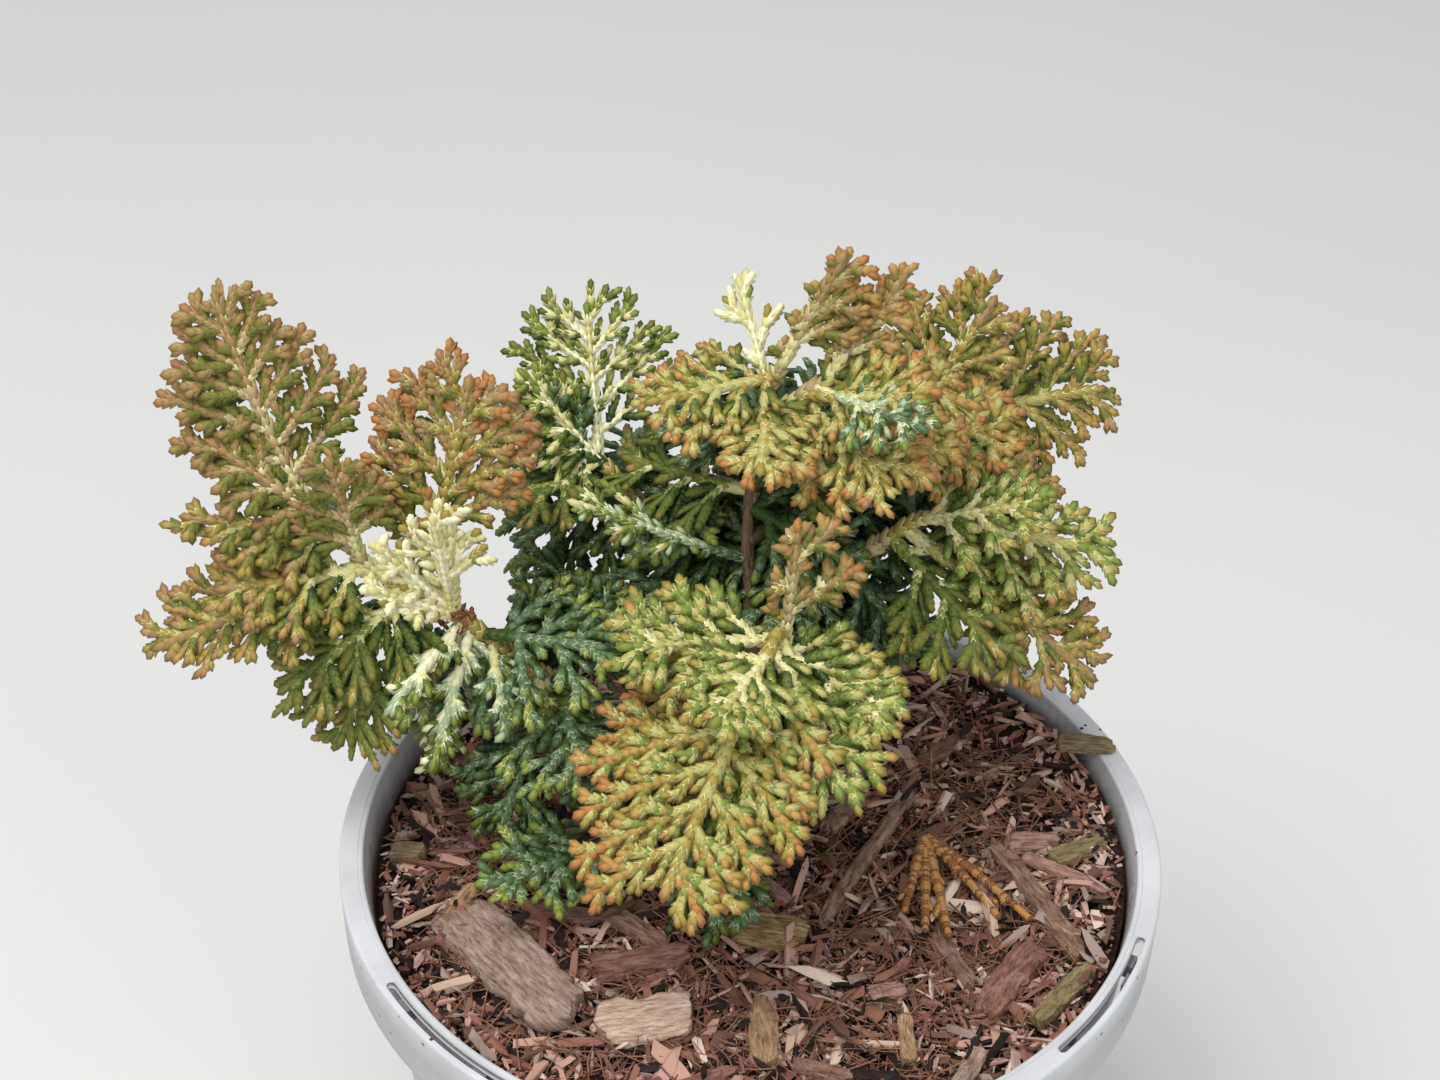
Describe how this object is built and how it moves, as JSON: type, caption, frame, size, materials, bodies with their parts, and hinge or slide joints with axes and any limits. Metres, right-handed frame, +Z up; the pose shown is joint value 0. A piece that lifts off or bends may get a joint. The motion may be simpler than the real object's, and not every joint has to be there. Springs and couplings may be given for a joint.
{
  "type": "potted dwarf conifer",
  "caption": "Dwarf conifer with flat fans of scale leaves on low spreading boughs, in a round plastic nursery pot topped with shredded bark",
  "frame": {"origin": "centre of the pot's flat underside", "axes": "+Z up along the pot's axis, +Y away from the side that the picture shows, +X to its right"},
  "size_m": [0.1577, 0.13, 0.2057],
  "materials": {
    "pot": "smooth taupe grey plastic with a soft sheen",
    "bark": "damp shredded bark",
    "chip": "rough weathered bark chips",
    "dead_sprig": "dry orange-brown scale leaves",
    "wood": "thin scaly grey-brown bark",
    "leaf_bronze": "waxy scale leaves, orange bronze",
    "leaf_gold": "waxy scale leaves, golden",
    "leaf_yellow_green": "waxy scale leaves, yellow green",
    "leaf_green": "waxy scale leaves, green",
    "leaf_dark_green": "waxy scale leaves, dark blue green"
  },
  "bodies": {
    "root": {"pot": "pot", "bark_bed": "bark", "chip_broad": "chip", "chip_lens": "chip", "chip_cream": "chip", "chip_brown": "chip", "stick_long": "chip", "stick_right": "chip", "chip_red": "chip", "chip_on_rim": "chip", "fallen_sprig": "dead_sprig", "trunk": "wood", "bough_left": "wood", "bough_left_upper": "wood", "bough_crown": "wood", "bough_right_back": "wood", "bough_right": "wood", "bough_back_left": "wood", "bough_front": "wood", "bough_low": "wood", "bough_rear": "wood", "spray_left_upper": "leaf_bronze", "spray_left_mid": "leaf_gold", "spray_left_centre": "leaf_bronze", "spray_left_low": "leaf_gold", "spray_left_hang": "leaf_green", "spray_left_drop": "leaf_yellow_green", "spray_left_pale": "leaf_yellow_green", "spray_back_left_up": "leaf_yellow_green", "spray_back_left_low": "leaf_dark_green", "spray_crown_left": "leaf_gold", "spray_crown_fingers": "leaf_yellow_green", "spray_crown_spike": "leaf_bronze", "spray_crown_front": "leaf_bronze", "spray_crown_right": "leaf_gold", "spray_right_back": "leaf_gold", "spray_right_back_up": "leaf_gold", "spray_right_mid": "leaf_yellow_green", "spray_right_low": "leaf_gold", "spray_inner_right": "leaf_dark_green", "spray_inner_back": "leaf_dark_green", "spray_inner_crown": "leaf_dark_green", "spray_inner_left_down": "leaf_dark_green", "spray_inner_left_up": "leaf_dark_green", "spray_front_left": "leaf_yellow_green", "spray_front_right": "leaf_yellow_green", "spray_front_low": "leaf_bronze", "spray_front_sprig": "leaf_bronze", "spray_low_tuft": "leaf_green", "spray_rear_left": "leaf_green", "spray_rear_right": "leaf_green", "spray_rear_mid": "leaf_yellow_green"}
  },
  "joints": []
}
